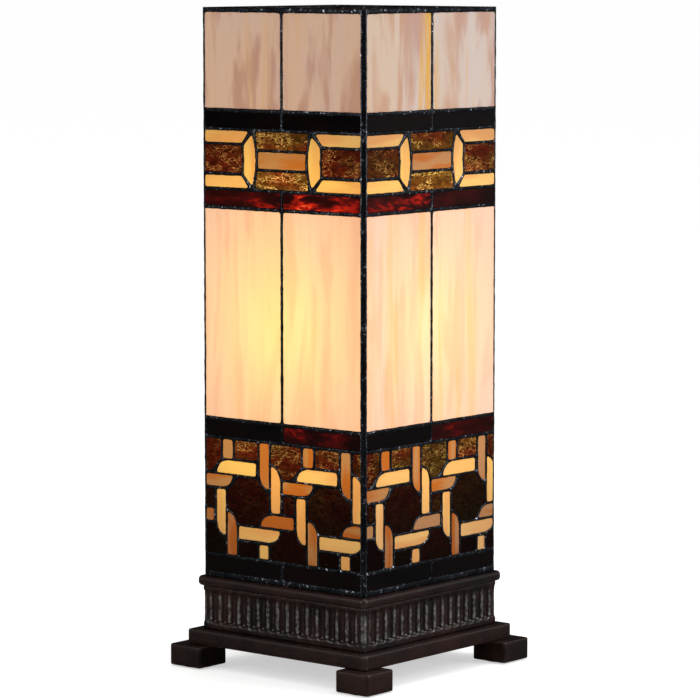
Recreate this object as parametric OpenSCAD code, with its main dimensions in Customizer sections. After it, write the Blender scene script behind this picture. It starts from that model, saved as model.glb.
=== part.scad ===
// Table lamp with a four-sided stained glass column on a fluted cast base.
// Millimetres, +Z up. The origin is on the table, under the middle of the lamp.
// The front is -Y. A mains lead would leave through the gland in the back, +Y.

/* [Shade] */
// Width of the shade across its solder
shade_w = 143; // [138:1:150]
// Height of the short opal panels at the top
top_panel_h = 64; // [40:1:100]
// Height of the tall opal panels
tall_panel_h = 141.4; // [120:0.2:200]
// Height of each plain bar of black or ruby glass
bar_h = 10.2; // [8:0.2:12]
// Thickness of a side across its solder
side_t = 3; // [2.8:0.1:3.2]
// Thickness of the sheet glass
glass_t = 2.4; // [2:0.1:2.6]
// Width of the solder lines between bands
lead_w = 2.5; // [2:0.1:3]
// Width of the solder round each strip of the weave
weave_lead_w = 2; // [1.6:0.1:2.2]
// How far the sheets of glass stay from the shade's corners
corner_lead_w = 3.2; // [3.1:0.1:3.6]

/* [Base] */
// Height of the block feet with their pads
foot_h = 15.3; // [14:0.1:25]
// Width of each block foot
foot_w = 28; // [24:0.5:30]
// Height of the plinth
plinth_h = 10.2; // [9:0.1:16]
// Height of the fluted frieze
frieze_h = 30; // [26:0.5:45]
// Thickness of the top slab
slab_t = 7; // [6:0.1:12]
// How far the slab stands out past the shade
slab_overhang = 3; // [1:0.1:6]
// How far the plinth stands out past the frieze
plinth_overhang = 7.5; // [4:0.1:12]
// How far the feet stand out past the plinth
foot_overhang = 9; // [6:0.1:12]
// Number of reeds along each side of the frieze
reed_count = 16; // [10:1:18]
// Width of a reed
reed_w = 5.4; // [4:0.1:5.8]

/* [Light] */
// Height of the riser sleeve over the slab
riser_h = 65.5; // [50:0.5:90]
// Diameter of the bulb's globe
globe_d = 60; // [45:1:68]

/* [Hidden] */
SIDES = ["front", "right", "back", "left"];
SHEETS = ["opal_glass", "black_glass", "ruby_glass", "amber_glass", "honey_glass", "orange_glass"];
FEET = ["foot_front_left", "foot_front_right", "foot_back_right", "foot_back_left"];

$fn = 48;
eps = 0.01;

// Heights of the base, from the table up
pad_t = 0.8;
plinth_z = foot_h;
frieze_z = plinth_z + plinth_h;
slab_z = frieze_z + frieze_h;
shade_z = slab_z + slab_t;

// Half widths, from the middle of the lamp out
shade_half = shade_w / 2;
slab_half = shade_half + slab_overhang;
frieze_half = shade_half;
plinth_half = frieze_half + plinth_overhang;
foot_outer = plinth_half + foot_overhang;
foot_centre = foot_outer - foot_w / 2;

// Walls of the hollow base
plinth_bore_half = shade_half - 6;
frieze_bore_half = shade_half - 8;
post_w = 17;
post_screw_at = shade_half - 17.5;
step_h = 3;
step_half = shade_half - 6;

// Heights of the shade's bands, from its bottom edge up
bottom_rim_w = 4.1;
top_rim_w = 3.5;
weave_h = 78.4;
tile_h = 37.8;
foot_bar_z = shade_z + bottom_rim_w;
weave_z = foot_bar_z + bar_h + lead_w;
dark_bar_z = weave_z + weave_h + lead_w;
tall_z = dark_bar_z + bar_h + lead_w;
ruby_bar_z = tall_z + tall_panel_h + lead_w;
tile_z = ruby_bar_z + bar_h + lead_w;
black_bar_z = tile_z + tile_h + lead_w;
top_panel_z = black_bar_z + bar_h + lead_w;
shade_top = top_panel_z + top_panel_h + top_rim_w;

// The pattern is drawn for a side 143 mm wide and stretched to the real width
stretch = shade_w / 143;
glass_half = shade_half - corner_lead_w;
glass_recess = 0.5;
corner_steps = 6;

// The weave repeats every half side: left, bottom, right, top, bowed corner, sheet.
// Left and right are from the start of the half, heights from the bottom of the band.
weave_pitch = 71.5;
// How much of a strip's length and width its bowed corner takes, and how far it bows out
strip_cut = [9.6, 7.2];
strip_bow = 1.5;
weave_strips = [
  [[18.5, 65.9, 27, weave_h], [0, 0], "orange_glass"],
  [[13, 55.5, 48, 64.2], [-1, 1], "honey_glass"],
  [[0.5, 46, 27, 54], [1, -1], "orange_glass"],
  [[51.5, 47.7, 59.5, weave_h], [-1, -1], "orange_glass"],
  [[61.5, 32.2, 69.5, 63.5], [1, 1], "honey_glass"],
  [[12.8, 12.7, 20.5, 44], [-1, -1], "honey_glass"],
  [[22.5, 0, 30.5, 29.2], [1, 1], "orange_glass"],
  [[32.7, 11.7, 69.3, 20.1], [1, -1], "honey_glass"],
  [[52.5, 22.2, 81.5, 30.2], [-1, 1], "orange_glass"],
  [[51.3, 0, 59, 9.2], [0, 0], "honey_glass"]
];
// The cells between the strips: left, bottom, right, top, cut off each corner
weave_cells = [
  [22.5, 21.7, 59.5, 53.7, 10.5],
  [-10, 55.8, 16.5, 110, 9.5],
  [-10.5, -30, 20.5, 20.4, 9.5],
  [1, 32.2, 10.6, 43.9, 0],
  [29.2, 66.2, 49.4, weave_h, 0],
  [32.7, 0, 49.2, 9.5, 0]
];

// The tile band, from the middle of the side and from the bottom of the band
bracket_tip = [26, 1.6];
bracket_corner = [33.6, 9.2];
bracket_bow = 3;
frame_strip_w = 7.6;
frame_strip_end = [29.2, 35.4];
side_tile = [35.8, 10.2, 90, 28.2];
middle_tile_half = 21.4;
middle_strip_z = [13.4, 24.4];

// Lampholder and bulb, from the top of the riser up
tube_r = 5;
tube_bore_r = 3.5;
tube_clearance = 0.2;
holder_z = shade_z + step_h + riser_h;
insert_z = holder_z + 16;
shell_z = insert_z + 6;
shell_h = 29;
shell_r = 14.4;
bulb_z = holder_z + 27.1;
cap_r = 13.25;
cap_h = 20;
cap_wall = 0.4;
globe_r = globe_d / 2;
globe_z = bulb_z + 45 + globe_r;
globe_wall = 0.8;
stem_top_z = globe_z - 17;

// Cable gland
gland_z = frieze_z + 8.5;
gland_bore_r = 3.5;
gland_body_r = 5.4;
gland_flange_r = 7.5;

// Fasteners
screw_r = 2;
screw_hole_r = 2.2;
screw_head_r = 3.8;
screw_head_h = 2.6;

// Colours
bronze = [0.16, 0.09, 0.08];
patina = [0.13, 0.13, 0.14];
brass = [0.72, 0.56, 0.28];
steel = [0.62, 0.63, 0.65];
black = [0.06, 0.06, 0.065];

function sheet_colour(sheet) =
  sheet == "opal_glass" ? [0.96, 0.84, 0.68] :
  sheet == "black_glass" ? [0.04, 0.03, 0.03] :
  sheet == "ruby_glass" ? [0.5, 0.06, 0.02] :
  sheet == "amber_glass" ? [0.3, 0.12, 0.03] :
  sheet == "honey_glass" ? [0.97, 0.74, 0.33] :
  [0.8, 0.42, 0.08];

// ---- outlines ----

// Box round the middle with its upper right corner bowed off, then turned over by the signs.
// cut is how much of the width and of the height the bowed corner takes.
function one_bowed_corner(w, h, cut, signs) =
  [for (p = concat(
      [[-w / 2, h / 2], [-w / 2, -h / 2], [w / 2, -h / 2]],
      cut[0] == 0 ? [[w / 2, h / 2]] :
      [for (i = [0:corner_steps])
        let (f = i / corner_steps, bow = strip_bow * sin(180 * f))
        [w / 2 - cut[0] * f + bow, h / 2 - cut[1] * (1 - f) + bow]]))
    [p[0] * signs[0], p[1] * signs[1]]];

// Box with all four corners cut off
function cut_corners(box, cut) =
  cut == 0 ?
  [[box[0], box[1]], [box[2], box[1]], [box[2], box[3]], [box[0], box[3]]] :
  [[box[0] + cut, box[1]], [box[2] - cut, box[1]], [box[2], box[1] + cut], [box[2], box[3] - cut],
   [box[2] - cut, box[3]], [box[0] + cut, box[3]], [box[0], box[3] - cut], [box[0], box[1] + cut]];

// Square round the middle with rounded corners
module rounded_square(w, r) {
  square([w - 2 * r, w], center = true);
  square([w, w - 2 * r], center = true);
  for (x = [-1, 1], y = [-1, 1])
    translate([x * (w / 2 - r), y * (w / 2 - r)]) circle(r);
}

module square_ring(outer_half, inner_half, h) {
  difference() {
    translate([-outer_half, -outer_half, 0]) cube([2 * outer_half, 2 * outer_half, h]);
    translate([-inner_half, -inner_half, -eps]) cube([2 * inner_half, 2 * inner_half, h + 2 * eps]);
  }
}

module four_corners(at) {
  for (x = [-1, 1], y = [-1, 1]) translate([x * at, y * at, 0]) children();
}

// ---- pattern of one side: x from its middle, y is the height over the table ----

// Two panes side by side with the middle solder line between them
module pane_pair(z, h) {
  for (side = [-1, 1]) pane_half(z, h, side);
}

module pane_half(z, h, side) {
  w = glass_half - lead_w / 2;
  translate([side * (lead_w + w) / 2, z + h / 2]) square([w, h], center = true);
}

module weave_strip(row, grow = 0) {
  box = row[0];
  w = (box[2] - box[0]) * stretch + 2 * grow;
  h = box[3] - box[1] + 2 * grow;
  square_ends = row[1][0] == 0;
  cut = square_ends ? [0, 0] : w > h ? [strip_cut[0] + grow, strip_cut[1] + grow]
    : [strip_cut[1] + grow, strip_cut[0] + grow];
  translate([(box[0] + box[2]) / 2 * stretch, (box[1] + box[3]) / 2])
    polygon(one_bowed_corner(w, h, cut, square_ends ? [1, 1] : row[1]));
}

// Repeats its children in each half of the side, and in the halves just past its ends
module weave_repeat() {
  for (half = [-2:1]) translate([half * weave_pitch * stretch, 0]) children();
}

module weave_band_clip() {
  intersection() {
    translate([-glass_half, 0]) square([2 * glass_half, weave_h]);
    children();
  }
}

module weave_strips_of(sheet) {
  translate([0, weave_z]) weave_band_clip() weave_repeat()
    for (row = weave_strips) if (row[2] == sheet) weave_strip(row);
}

module weave_cells_all() {
  translate([0, weave_z]) weave_band_clip() difference() {
    weave_repeat()
      for (cell = weave_cells)
        polygon(cut_corners([cell[0] * stretch, cell[1], cell[2] * stretch, cell[3]], cell[4]));
    weave_repeat()
      for (row = weave_strips) weave_strip(row, weave_lead_w);
  }
}

// Bowed upright bar of the tile band, on the right of the middle
module bracket(grow = 0) {
  height = tile_h - 2 * bracket_tip[1];
  middle = tile_h / 2;
  bowed = [for (i = [0:corner_steps])
    let (f = i / corner_steps)
    [bracket_tip[0] * stretch - grow - bracket_bow * sin(180 * f),
     bracket_tip[1] - grow + (height + 2 * grow) * f]];
  polygon(concat(bowed, [
    [bracket_corner[0] * stretch + grow, tile_h - bracket_corner[1] + grow / 2],
    [bracket_corner[0] * stretch - 0.6 + grow, middle],
    [bracket_corner[0] * stretch + grow, bracket_corner[1] - grow / 2]
  ]));
}

// Strip along the bottom of the tile band, from the bracket to the corner
module frame_strip() {
  polygon([
    [frame_strip_end[0] * stretch, 0], [glass_half, 0],
    [glass_half, frame_strip_w], [frame_strip_end[1] * stretch, frame_strip_w]
  ]);
}

module tile_band_honey() {
  translate([0, tile_z]) for (side = [0, 1]) mirror([side, 0]) {
    bracket();
    frame_strip();
    translate([0, tile_h]) mirror([0, 1]) frame_strip();
  }
}

module tile_band_amber() {
  w = bracket_tip[0] * stretch;
  translate([0, tile_z]) {
    for (side = [0, 1]) mirror([side, 0]) intersection() {
      difference() {
        polygon(cut_corners([side_tile[0] * stretch - 0.6, side_tile[1], side_tile[2], side_tile[3]], 0.8));
        bracket(weave_lead_w);
      }
      square([glass_half, tile_h]);
    }
    difference() {
      union() {
        translate([-w, 0]) square([2 * w, middle_strip_z[0] - weave_lead_w]);
        translate([-w, middle_strip_z[1] + weave_lead_w])
          square([2 * w, tile_h - middle_strip_z[1] - weave_lead_w]);
      }
      for (side = [0, 1]) mirror([side, 0]) {
        bracket(weave_lead_w);
        translate([middle_tile_half * stretch + 1.6, -eps]) square([w, tile_h + 2 * eps]);
      }
    }
  }
}

module tile_band_orange() {
  half = middle_tile_half * stretch - 0.6;
  translate([-half, tile_z + middle_strip_z[0]])
    square([2 * half, middle_strip_z[1] - middle_strip_z[0]]);
}

// Outline of all the glass of one kind in a side
module sheet_outline(sheet) {
  if (sheet == "opal_glass") {
    pane_pair(top_panel_z, top_panel_h);
    pane_pair(tall_z, tall_panel_h);
  }
  if (sheet == "black_glass") {
    pane_pair(foot_bar_z, bar_h);
    pane_half(dark_bar_z, bar_h, -1);
    pane_pair(black_bar_z, bar_h);
  }
  if (sheet == "ruby_glass") {
    pane_half(dark_bar_z, bar_h, 1);
    pane_pair(ruby_bar_z, bar_h);
  }
  if (sheet == "amber_glass") {
    weave_cells_all();
    tile_band_amber();
  }
  if (sheet == "honey_glass") {
    weave_strips_of(sheet);
    tile_band_honey();
  }
  if (sheet == "orange_glass") {
    weave_strips_of(sheet);
    tile_band_orange();
  }
}

// Stands an outline up as a plate at the given depth behind the front of the shade
module stand_up(depth, thickness) {
  translate([0, depth + thickness - shade_half, 0]) rotate([90, 0, 0])
    linear_extrude(thickness) children();
}

module on_side(i) {
  rotate([0, 0, 90 * i]) children();
}

module lead_lattice() {
  plate_half = shade_half - side_t;
  color(patina) difference() {
    translate([-plate_half, -shade_half, shade_z]) cube([2 * plate_half, side_t, shade_top - shade_z]);
    for (sheet = SHEETS) stand_up(-eps, side_t + 2 * eps) sheet_outline(sheet);
  }
}

module sheet_glass(sheet) {
  color(sheet_colour(sheet)) stand_up(glass_recess, glass_t) sheet_outline(sheet);
}

// Quarter-round bead that joins two sides
module corner_cames() {
  at = shade_half - side_t;
  color(patina) for (i = [0:3]) rotate([0, 0, 90 * i])
    translate([at, at, shade_z]) intersection() {
      cylinder(r = side_t, h = shade_top - shade_z);
      cube([side_t, side_t, shade_top - shade_z]);
    }
}

module stiffener_strips() {
  strip_t = 2;
  strip_h = 10;
  outer = shade_half - side_t;
  end_gap = 0.3;
  color(brass) for (i = [0:3]) rotate([0, 0, 90 * i])
    translate([-outer, outer - strip_t, shade_z])
      cube([2 * outer - strip_t - end_gap, strip_t, strip_h]);
}

// ---- base ----

module top_slab() {
  color(bronze) difference() {
    union() {
      translate([0, 0, slab_z]) linear_extrude(slab_t) rounded_square(2 * slab_half, 2);
      translate([-step_half, -step_half, shade_z - eps]) cube([2 * step_half, 2 * step_half, step_h + eps]);
    }
    translate([0, 0, slab_z - eps]) cylinder(r = tube_r + tube_clearance, h = slab_t + step_h + 3 * eps);
    four_corners(post_screw_at) translate([0, 0, slab_z - eps]) cylinder(r = screw_r, h = 4.5);
  }
}

// Reeds stand on a flat ground between a plain band below and one above
module fluted_frieze() {
  ground_half = frieze_half - 1.8;
  bottom_band = 4.5;
  top_band = 3;
  reed_pitch = 2 * frieze_half / (reed_count + 0.44);
  reed_r = reed_w / 2;
  reed_z = frieze_z + bottom_band + reed_r;
  color(bronze) difference() {
    union() {
      translate([0, 0, frieze_z]) square_ring(ground_half, frieze_bore_half, frieze_h);
      translate([0, 0, frieze_z]) square_ring(frieze_half, frieze_bore_half, bottom_band);
      translate([0, 0, slab_z - top_band]) square_ring(frieze_half, frieze_bore_half, top_band);
      for (x = [-1, 1], y = [-1, 1]) scale([x, y, 1]) {
        translate([frieze_bore_half + 1 - post_w, frieze_bore_half + 1 - post_w, frieze_z])
          cube([post_w, post_w, frieze_h]);
        translate([frieze_half - 2.4, frieze_half - 2.4, frieze_z]) cylinder(r = 2.4, h = frieze_h);
      }
      for (i = [0:3], k = [0:reed_count - 1]) rotate([0, 0, 90 * i])
        translate([(k - (reed_count - 1) / 2) * reed_pitch, reed_r - frieze_half, reed_z]) {
          cylinder(r = reed_r, h = slab_z - reed_z - top_band / 2);
          sphere(r = reed_r);
        }
    }
    four_corners(post_screw_at) translate([0, 0, frieze_z - eps])
      cylinder(r = screw_hole_r, h = frieze_h + 2 * eps);
    translate([0, frieze_bore_half - 1, gland_z]) rotate([-90, 0, 0])
      cylinder(r = gland_body_r, h = 12);
  }
}

module plinth() {
  color(bronze) difference() {
    union() {
      translate([0, 0, plinth_z]) square_ring(plinth_half, plinth_bore_half, plinth_h);
      for (x = [-1, 1], y = [-1, 1]) scale([x, y, 1])
        translate([frieze_bore_half + 1 - post_w, frieze_bore_half + 1 - post_w, plinth_z + 3])
          cube([post_w + 3, post_w + 3, plinth_h - 3]);
    }
    four_corners(post_screw_at) translate([0, 0, plinth_z])
      cylinder(r = screw_hole_r, h = plinth_h + eps);
    four_corners(foot_centre) translate([0, 0, plinth_z - eps]) cylinder(r = screw_r, h = 7.2);
  }
}

module foot(i) {
  seat_z = 6;
  color(bronze) rotate([0, 0, 90 * i]) translate([-foot_centre, -foot_centre, 0]) difference() {
    translate([0, 0, pad_t]) linear_extrude(foot_h - pad_t) rounded_square(foot_w, 2.5);
    cylinder(r = screw_hole_r, h = foot_h + eps);
    cylinder(r = screw_head_r + 0.4, h = seat_z);
  }
}

module felt_pads() {
  color([0.1, 0.1, 0.1]) four_corners(foot_centre) cylinder(r = 11, h = pad_t);
}

// Pan-head screw pointing up, its head under the given height
module pan_screw(seat_z, length) {
  translate([0, 0, seat_z - screw_head_h]) cylinder(r = screw_head_r, h = screw_head_h);
  translate([0, 0, seat_z - eps]) cylinder(r = screw_r, h = length + eps);
}

module foot_screws() {
  color(steel) four_corners(foot_centre) pan_screw(6, 16);
}

module bottom_cover() {
  half = plinth_bore_half - 0.3;
  color(steel) difference() {
    translate([-half, -half, plinth_z + 1]) cube([2 * half, 2 * half, 2]);
    four_corners(post_screw_at) translate([0, 0, plinth_z]) cylinder(r = screw_hole_r, h = 4);
  }
}

module stack_screws() {
  color(steel) four_corners(post_screw_at) pan_screw(plinth_z + 1, slab_z + 4 - plinth_z - 1);
}

module cable_gland() {
  color(black) difference() {
    translate([0, 0, gland_z]) rotate([-90, 0, 0]) {
      translate([0, 0, frieze_bore_half - 6]) cylinder(r = gland_body_r, h = 14 + eps);
      translate([0, 0, frieze_half]) cylinder(r = gland_flange_r, h = 2);
      translate([0, 0, frieze_half + 2 - eps]) cylinder(r1 = gland_flange_r, r2 = 5.4, h = 2.5);
    }
    translate([0, frieze_bore_half - 7, gland_z]) rotate([-90, 0, 0])
      cylinder(r = gland_bore_r, h = 24);
  }
}

module gland_nut() {
  color(black) translate([0, frieze_bore_half - 4, gland_z]) rotate([-90, 0, 0]) difference() {
    cylinder(r = 8.6, h = 4, $fn = 6);
    translate([0, 0, -eps]) cylinder(r = gland_body_r, h = 4 + 2 * eps);
  }
}

// ---- tube, riser and lampholder ----

module threaded_tube() {
  z = slab_z - 14;
  color(steel) translate([0, 0, z]) difference() {
    cylinder(r = tube_r, h = holder_z + 8.5 - z);
    translate([0, 0, -eps]) cylinder(r = tube_bore_r, h = holder_z + 9 - z);
  }
}

module tube_nuts() {
  nut_h = 4;
  color(steel) for (k = [1, 2]) translate([0, 0, slab_z - nut_h * k - 0.3 * (k - 1)]) difference() {
    cylinder(r = 9.2, h = nut_h, $fn = 6);
    translate([0, 0, -eps]) cylinder(r = tube_r, h = nut_h + 2 * eps);
  }
}

module riser_sleeve() {
  z = shade_z + step_h;
  color(brass) translate([0, 0, z]) difference() {
    union() {
      cylinder(r = 8, h = riser_h);
      cylinder(r = 14, h = 2);
      translate([0, 0, 2 - eps]) cylinder(r1 = 14, r2 = 8, h = 4);
    }
    translate([0, 0, -eps]) cylinder(r = tube_r + tube_clearance, h = riser_h + 2 * eps);
  }
}

module lampholder_cap() {
  color(black) translate([0, 0, holder_z]) rotate_extrude() polygon([
    [tube_r, 0], [9, 0], [9, 5], [16, 10], [18.6, 15], [18.6, 22],
    [17.2, 22], [17.2, 16], [15.2, 12], [8, 7.5], [tube_r, 7.5]
  ]);
}

module lampholder_skirt() {
  color(black) translate([0, 0, holder_z + 22]) rotate_extrude() polygon([
    [17.2, 0], [18.6, 0], [19.2, 4], [19.2, 29], [20.2, 31], [20.2, 33], [17.2, 33]
  ]);
}

module porcelain_insert() {
  color([0.93, 0.92, 0.88]) difference() {
    union() {
      translate([0, 0, insert_z]) cylinder(r = 16.9, h = shell_z - insert_z);
      translate([0, 0, shell_z - eps]) cylinder(r = shell_r - 1.1, h = 3 + eps);
    }
    for (side = [-1, 1]) translate([side * 10.5, 0, insert_z - eps]) cylinder(r = 1.5, h = 5);
  }
}

module screw_shell() {
  color(brass) translate([0, 0, shell_z]) difference() {
    cylinder(r = shell_r, h = shell_h);
    translate([0, 0, -eps]) cylinder(r = shell_r - 0.8, h = shell_h + 2 * eps);
  }
}

module centre_contact() {
  color(brass) translate([0, 0, shell_z + 3]) {
    translate([-9, -2.5, 0]) cube([12, 5, 0.6]);
    cylinder(r = 2.5, h = bulb_z - shell_z - 3.3);
  }
}

module terminal_screws() {
  color(brass) for (side = [-1, 1]) translate([side * 10.5, 0, insert_z - 2]) {
    cylinder(r = 2.8, h = 2);
    translate([0, 0, 2 - eps]) cylinder(r = 1.5, h = 4.5);
  }
}

// ---- bulb ----

module bulb_contact() {
  color(steel) translate([0, 0, bulb_z]) {
    cylinder(r1 = 2.6, r2 = 3.4, h = 1);
    translate([0, 0, 1 - eps]) cylinder(r = 3.4, h = 1.4 + eps);
  }
}

module bulb_insulator() {
  color(black) translate([0, 0, bulb_z + 2.4]) cylinder(r1 = 4.5, r2 = 11.5, h = 4.5);
}

module bulb_cap() {
  color(steel) translate([0, 0, bulb_z + 6.9]) difference() {
    cylinder(r = cap_r, h = cap_h);
    translate([0, 0, 0.5]) cylinder(r = cap_r - cap_wall, h = cap_h);
  }
}

// Radius and height of the globe's wall, from the neck up to the top of the ball
function globe_wall_points(inset) =
  let (r = globe_r - inset,
       start = -35,
       neck_r = cap_r - cap_wall - 0.1 - inset,
       neck_z = bulb_z + 6.9 + cap_h,
       end_z = globe_z + r * sin(start),
       end_r = r * cos(start))
  concat(
    [[neck_r, neck_z - 9], [neck_r, neck_z]],
    [for (i = [1:5])
      let (f = i / 6, blend = f * f * (1.6 - 0.6 * f))
      [neck_r + (end_r - neck_r) * blend, neck_z + (end_z - neck_z) * f]],
    [for (i = [0:15])
      let (a = start + (90 - start) * i / 15)
      [i == 15 ? 0 : r * cos(a), globe_z + r * sin(a)]]
  );

module bulb_globe() {
  outer = globe_wall_points(0);
  inner = globe_wall_points(globe_wall);
  last = len(inner) - 1;
  color([1, 0.96, 0.85]) rotate_extrude()
    polygon(concat(outer, [for (i = [0:last]) inner[last - i]]));
}

module bulb_stem() {
  z = bulb_z + 6.9 + cap_h - 8;
  flare_h = 5;
  color([0.9, 0.95, 0.95]) {
    translate([0, 0, z]) cylinder(r1 = 11.8, r2 = 4, h = flare_h);
    translate([0, 0, z + flare_h - eps]) cylinder(r = 3.6, h = stem_top_z - z - flare_h + eps);
  }
}

// Two leaning wires that stand on the stem, and a coil bent round between their tips
module bulb_filament() {
  wire_r = 0.4;
  lead_tilt = 30;
  lead_l = 17;
  foot_z = stem_top_z + wire_r * sin(lead_tilt);
  coil_r = 2 + lead_l * sin(lead_tilt);
  color(steel) {
    for (side = [0, 1]) mirror([side, 0, 0]) translate([2, 0, foot_z]) rotate([0, lead_tilt, 0])
      cylinder(r = wire_r, h = lead_l);
    translate([0, 0, foot_z + lead_l * cos(lead_tilt)]) rotate_extrude(angle = 180)
      translate([coil_r, 0]) circle(0.5);
  }
}

// ---- nodes ----

top_slab();
fluted_frieze();
plinth();
for (i = [0:3]) foot(i);
felt_pads();
foot_screws();
bottom_cover();
stack_screws();
cable_gland();
gland_nut();
threaded_tube();
tube_nuts();
riser_sleeve();
lampholder_cap();
lampholder_skirt();
porcelain_insert();
screw_shell();
centre_contact();
terminal_screws();
bulb_contact();
bulb_insulator();
bulb_cap();
bulb_globe();
bulb_stem();
bulb_filament();
corner_cames();
stiffener_strips();
for (i = [0:3]) {
  on_side(i) lead_lattice();
  for (sheet = SHEETS)
    on_side(i) sheet_glass(sheet);
}
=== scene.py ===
# %% [markdown]
# # A stained glass table lamp
#
# The lamp is a tall column of glass on a dark fluted base. Its four sides are flat panels of
# cut glass, held together by beads of solder, and one bulb inside lights them.
#
# The solid model is already made and packed. This lesson dresses it: it rounds the solder,
# cuts the glass a little larger than its openings, casts the base with soft edges, and gives
# each of them a finish made of nodes. Nothing is moved, so each piece starts from the solid
# it stands for, and rides on the same body.

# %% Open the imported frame
import math
import random

import bmesh
import bpy
from mathutils import Matrix, Vector, noise


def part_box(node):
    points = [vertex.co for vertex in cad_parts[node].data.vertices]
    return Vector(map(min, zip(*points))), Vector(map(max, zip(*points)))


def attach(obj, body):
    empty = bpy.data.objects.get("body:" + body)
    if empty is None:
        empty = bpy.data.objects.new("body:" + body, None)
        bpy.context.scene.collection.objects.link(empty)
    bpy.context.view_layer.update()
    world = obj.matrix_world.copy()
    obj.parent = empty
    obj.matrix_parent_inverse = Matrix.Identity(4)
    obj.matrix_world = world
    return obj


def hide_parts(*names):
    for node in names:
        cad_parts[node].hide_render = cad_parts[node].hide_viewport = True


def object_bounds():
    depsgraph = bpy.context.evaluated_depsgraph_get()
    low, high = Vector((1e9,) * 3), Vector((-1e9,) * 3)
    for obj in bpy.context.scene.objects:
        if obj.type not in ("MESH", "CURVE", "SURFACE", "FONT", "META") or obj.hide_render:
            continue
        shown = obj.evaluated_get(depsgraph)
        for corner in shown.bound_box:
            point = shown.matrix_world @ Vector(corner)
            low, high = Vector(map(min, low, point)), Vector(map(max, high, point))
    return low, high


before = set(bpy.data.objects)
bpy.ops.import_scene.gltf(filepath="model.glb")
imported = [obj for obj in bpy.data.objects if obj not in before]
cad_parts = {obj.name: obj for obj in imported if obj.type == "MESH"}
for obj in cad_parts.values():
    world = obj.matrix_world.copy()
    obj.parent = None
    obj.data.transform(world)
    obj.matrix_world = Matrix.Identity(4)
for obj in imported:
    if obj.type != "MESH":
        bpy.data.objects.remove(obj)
cad_low, cad_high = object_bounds()
MM = 0.001
print("the lamp stands", round(cad_high.z / MM), "mm high")

# %% [markdown]
# ## The camera
#
# A long lens far away keeps the uprights of a tall thing nearly parallel. It could track the
# lamp with a constraint, but a plain place and two angles are easier to read, and they never
# change when a piece grows.

# %% Place the camera
def new_object(name, data):
    """An object with that data, put in the scene."""
    made = bpy.data.objects.new(name, data)
    bpy.context.collection.objects.link(made)
    return made


VIEW_TURN = math.radians(39.78)
VIEW_DOWN = math.radians(6.25)
VIEW_DISTANCE = 2.4694
VIEW_HEIGHT = 0.4869
VIEW_LENS = 187.0

camera = new_object("camera", bpy.data.cameras.new("camera"))
camera.data.lens = VIEW_LENS
camera.location = (
    VIEW_DISTANCE * math.sin(VIEW_TURN), -VIEW_DISTANCE * math.cos(VIEW_TURN), VIEW_HEIGHT)
camera.rotation_euler = (math.pi / 2 - VIEW_DOWN, 0, VIEW_TURN)
bpy.context.scene.camera = camera
print("camera", round(VIEW_DISTANCE, 2), "m away, lens", VIEW_LENS, "mm")

# %% [markdown]
# ## Small helpers for nodes
#
# A finish is a tree of nodes. Making a node, setting its values and joining its wires takes
# three kinds of line, so one helper does them all: a value goes into a socket, and an output
# is wired to it. The same helper fills a material and a node group.

# %% Node helpers
def wire(tree, made, inputs):
    """Sets a node's sockets, each to its value or to the output that feeds it."""
    for socket, value in (inputs or {}).items():
        if isinstance(value, bpy.types.NodeSocket):
            tree.links.new(value, made.inputs[socket])
        elif made.inputs[socket].type == "RGBA":
            made.inputs[socket].default_value = (*value, 1)
        else:
            made.inputs[socket].default_value = value
    return made


def add(tree, kind, inputs=None, **settings):
    """A new node of that kind, with its settings and its sockets filled."""
    made = tree.nodes.new("ShaderNode" + kind)
    for key, value in settings.items():
        setattr(made, key, value)
    return wire(tree, made, inputs)


def math_of(tree, operation, a, b=0.0, clamp=False):
    """The output of a Math node."""
    return add(tree, "Math", {0: a, 1: b}, operation=operation, use_clamp=clamp).outputs[0]


def product(tree, a, b):
    """Two numbers multiplied."""
    return math_of(tree, "MULTIPLY", a, b)


def vector_of(tree, operation, a, b):
    """The output of a Vector Math node."""
    return add(tree, "VectorMath", {0: a, 1: b}, operation=operation).outputs[0]


def between(tree, value, low, high, to_low=0.0, to_high=1.0, run="SMOOTHSTEP"):
    """value from low..high brought to to_low..to_high, and held there past the ends."""
    made = add(tree, "MapRange", {0: value, 1: low, 2: high, 3: to_low, 4: to_high})
    made.interpolation_type = run
    return made.outputs[0]


def rough_by(tree, grain, least, most):
    """A roughness that runs evenly with the grain."""
    return between(tree, grain, 0.0, 1.0, least, most, run="LINEAR")


def mixed(tree, factor, a, b):
    """Colour a at factor 0 and b at factor 1."""
    made = add(tree, "Mix", {0: factor, 6: a, 7: b}, data_type="RGBA")
    return made.outputs[2]


def times(tree, a, b):
    """Two colours multiplied."""
    made = add(tree, "Mix", {0: 1.0, 6: a, 7: b}, data_type="RGBA", blend_type="MULTIPLY")
    return made.outputs[2]


def ramp(tree, value, *stops):
    """A colour ramp with stops (place, (red, green, blue)). Colours are linear light."""
    made = add(tree, "ValToRGB", {0: value})
    line = made.color_ramp.elements
    while len(line) < len(stops):
        line.new(0.5)
    for stop, (place, colour) in zip(line, stops):
        stop.position = place
        stop.color = (*colour, 1.0)
    return made.outputs[0]


def new_group(name, inputs, outputs):
    """An empty node group. Returns its tree, what it is given and its output node."""
    tree = bpy.data.node_groups.new(name, "ShaderNodeTree")
    for socket, value in inputs.items():
        kind = "NodeSocketVector" if isinstance(value, tuple) else "NodeSocketFloat"
        made = tree.interface.new_socket(name=socket, in_out="INPUT", socket_type=kind)
        made.default_value = value
    for socket, kind in outputs.items():
        tree.interface.new_socket(name=socket, in_out="OUTPUT", socket_type="NodeSocket" + kind)
    return tree, tree.nodes.new("NodeGroupInput").outputs, tree.nodes.new("NodeGroupOutput")


def use(tree, group, inputs=None):
    """A group placed in a material. Returns its outputs."""
    made = tree.nodes.new("ShaderNodeGroup")
    made.node_tree = group
    return wire(tree, made, inputs).outputs


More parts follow.
